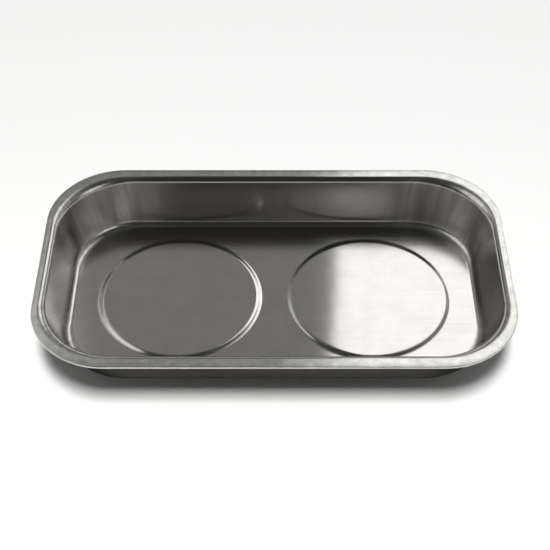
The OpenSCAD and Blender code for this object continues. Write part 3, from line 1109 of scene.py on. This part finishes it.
class PARTSTRAY_OT_stage(bpy.types.Operator):
    """Lay the white floor, set the lights and place the camera"""

    bl_idname = "partstray.stage"
    bl_label = "Stage"

    def execute(self, context):
        s = context.scene.parts_tray_stage
        self.lay_floor(s)
        self.set_lights(context)
        camera = bpy.data.objects.new("camera", bpy.data.cameras.new("camera"))
        context.scene.collection.objects.link(camera)
        camera.location = s.place
        camera.rotation_euler = (s.tilt, 0, 0)
        camera.data.lens = s.lens
        camera.data.shift_x = 0.0013
        camera.data.shift_y = 0.0003
        camera.data.clip_start = 0.01
        camera.data.clip_end = 50
        context.scene.camera = camera
        context.scene.view_settings.view_transform = "Standard"
        return {"FINISHED"}

    def lay_floor(self, s):
        """A wide sheet of white paper under the boots."""
        bpy.ops.object.select_all(action="DESELECT")
        bpy.ops.mesh.primitive_plane_add(size=12, location=(0, 0, CAD_LOW.z))
        floor = bpy.context.object
        floor.name = "paper_floor"
        made = new_material("white_paper")
        tree = made.node_tree
        paper = add_node(tree, "ShaderNodeBsdfDiffuse", {"Color": list(s.paper) + [1]})
        add_node(tree, "ShaderNodeOutputMaterial", None, {"Surface": paper.outputs[0]})
        floor.data.materials.append(made)

    def set_lights(self, context):
        """A softbox and panels, a fill from above the front, and a room that is light near the horizon."""
        world = bpy.data.worlds.new("studio")
        world.use_nodes = True
        tree = world.node_tree
        tree.nodes.clear()
        way = add_node(tree, "ShaderNodeTexCoord").outputs["Generated"]
        parts = add_node(tree, "ShaderNodeSeparateXYZ", None, {0: way})
        # Height of a direction and the light from there, on the camera's side and behind the tray
        heights = {
            "before": [(0, 0.9), (0.18, 0.9), (0.27, 0.12), (0.38, 0.04)],
            "behind": [
                (0, 1.0),
                (0.2, 0.9),
                (0.3, 0.14),
                (0.5, 0.11),
                (0.66, 0.3),
                (0.82, 0.27),
                (0.92, 0.06),
            ],
        }
        halves = {}
        for name, stops in heights.items():
            ramp = add_node(tree, "ShaderNodeValToRGB", None, {"Fac": parts.outputs["Z"]})
            while len(ramp.color_ramp.elements) < len(stops):
                ramp.color_ramp.elements.new(0.5)
            for element, (at, value) in zip(ramp.color_ramp.elements, stops):
                element.position = at
                element.color = (value, value, value, 1)
            halves[name] = ramp.outputs[0]
        turn = add_node(
            tree, "ShaderNodeMapRange", {"From Min": -0.1, "From Max": 0.25}, {"Value": parts.outputs["Y"]}
        )
        room = add_node(
            tree,
            "ShaderNodeMix",
            {"data_type": "RGBA"},
            {0: turn.outputs[0], 6: halves["before"], 7: halves["behind"]},
        )
        sky = add_node(tree, "ShaderNodeBackground", None, {"Color": room.outputs[2]})
        add_node(tree, "ShaderNodeOutputWorld", None, {"Surface": sky.outputs[0]})
        context.scene.world = world
        # Place, point that it faces, size, radiance, and whether it is a card that only shows in the metal
        lamps = {
            "softbox": ((0.515, 1.36, 1.64), (0.515, 0, 1.64), (0.77, 1.44), 1.5, True),
            "right_panel": ((1.6, 1.4, 1.62), (0, 1.4, 1.62), (1.6, 0.4), 0.5, True),
            "right_low_panel": ((1.6, 1.4, 0.91), (0, 1.4, 0.91), (1.6, 1.02), 0.22, True),
            "left_panel": ((-1.12, 0.3, 1.38), (0, 0, 0), (1.2, 1.2), 0.9, True),
            "left_back_panel": ((-0.67, 1.07, 1.38), (0, 0, 0), (0.56, 0.38), 0.4, True),
            "side_panel": ((0.98, -0.57, 1.26), (0, 0, 0), (0.8, 0.8), 1.2, True),
            "fill": ((0, -0.74, 1.9), (0, 0, 0), (0.3, 0.5), 88, False),
        }
        for name, (place, aim, size, radiance, card) in lamps.items():
            lamp = bpy.data.lights.new(name, "AREA")
            lamp.shape = "RECTANGLE"
            lamp.size, lamp.size_y = size
            lamp.energy = radiance * math.pi * size[0] * size[1]
            made = bpy.data.objects.new(name, lamp)
            context.scene.collection.objects.link(made)
            made.location = place
            made.rotation_euler = (Vector(place) - Vector(aim)).to_track_quat("Z", "Y").to_euler()
            made.visible_glossy = card
            made.visible_diffuse = not card


class PARTSTRAY_PT_panel(bpy.types.Panel):
    """Lists the tray's settings and steps"""

    bl_idname = "PARTSTRAY_PT_panel"
    bl_label = "Parts Tray"
    bl_space_type = "VIEW_3D"
    bl_region_type = "UI"
    bl_category = "Parts Tray"

    def draw(self, context):
        for step, group in STEPS:
            box = self.layout.box()
            box.operator(step)
            settings = getattr(context.scene, group)
            for name in settings.__annotations__:
                box.prop(settings, name)


STEPS = [
    ("partstray.dish", "parts_tray_dish"),
    ("partstray.boots", "parts_tray_boot"),
    ("partstray.plates", "parts_tray_plate"),
    ("partstray.studs", "parts_tray_stud"),
    ("partstray.nuts", "parts_tray_nut"),
    ("partstray.magnets", "parts_tray_magnet"),
    ("partstray.stage", "parts_tray_stage"),
]
GROUPS = {
    "parts_tray_dish": DishSettings,
    "parts_tray_boot": BootSettings,
    "parts_tray_plate": PlateSettings,
    "parts_tray_stud": StudSettings,
    "parts_tray_nut": NutSettings,
    "parts_tray_magnet": MagnetSettings,
    "parts_tray_stage": StageSettings,
}
CLASSES = [
    *GROUPS.values(),
    PARTSTRAY_OT_dish,
    PARTSTRAY_OT_boots,
    PARTSTRAY_OT_plates,
    PARTSTRAY_OT_studs,
    PARTSTRAY_OT_nuts,
    PARTSTRAY_OT_magnets,
    PARTSTRAY_OT_stage,
    PARTSTRAY_PT_panel,
]


def register():
    """Make the settings, steps and panel known to Blender."""
    for one in CLASSES:
        bpy.utils.register_class(one)
    for name, group in GROUPS.items():
        setattr(bpy.types.Scene, name, PointerProperty(type=group))


def unregister():
    """Take the panel, steps and settings away again."""
    for name in GROUPS:
        delattr(bpy.types.Scene, name)
    for one in reversed(CLASSES):
        bpy.utils.unregister_class(one)


def main():
    """Build the tray and its stage."""
    register()
    bpy.ops.partstray.dish()
    bpy.ops.partstray.boots()
    bpy.ops.partstray.plates()
    bpy.ops.partstray.studs()
    bpy.ops.partstray.nuts()
    bpy.ops.partstray.magnets()
    bpy.ops.partstray.stage()


if __name__ == "__main__":
    main()
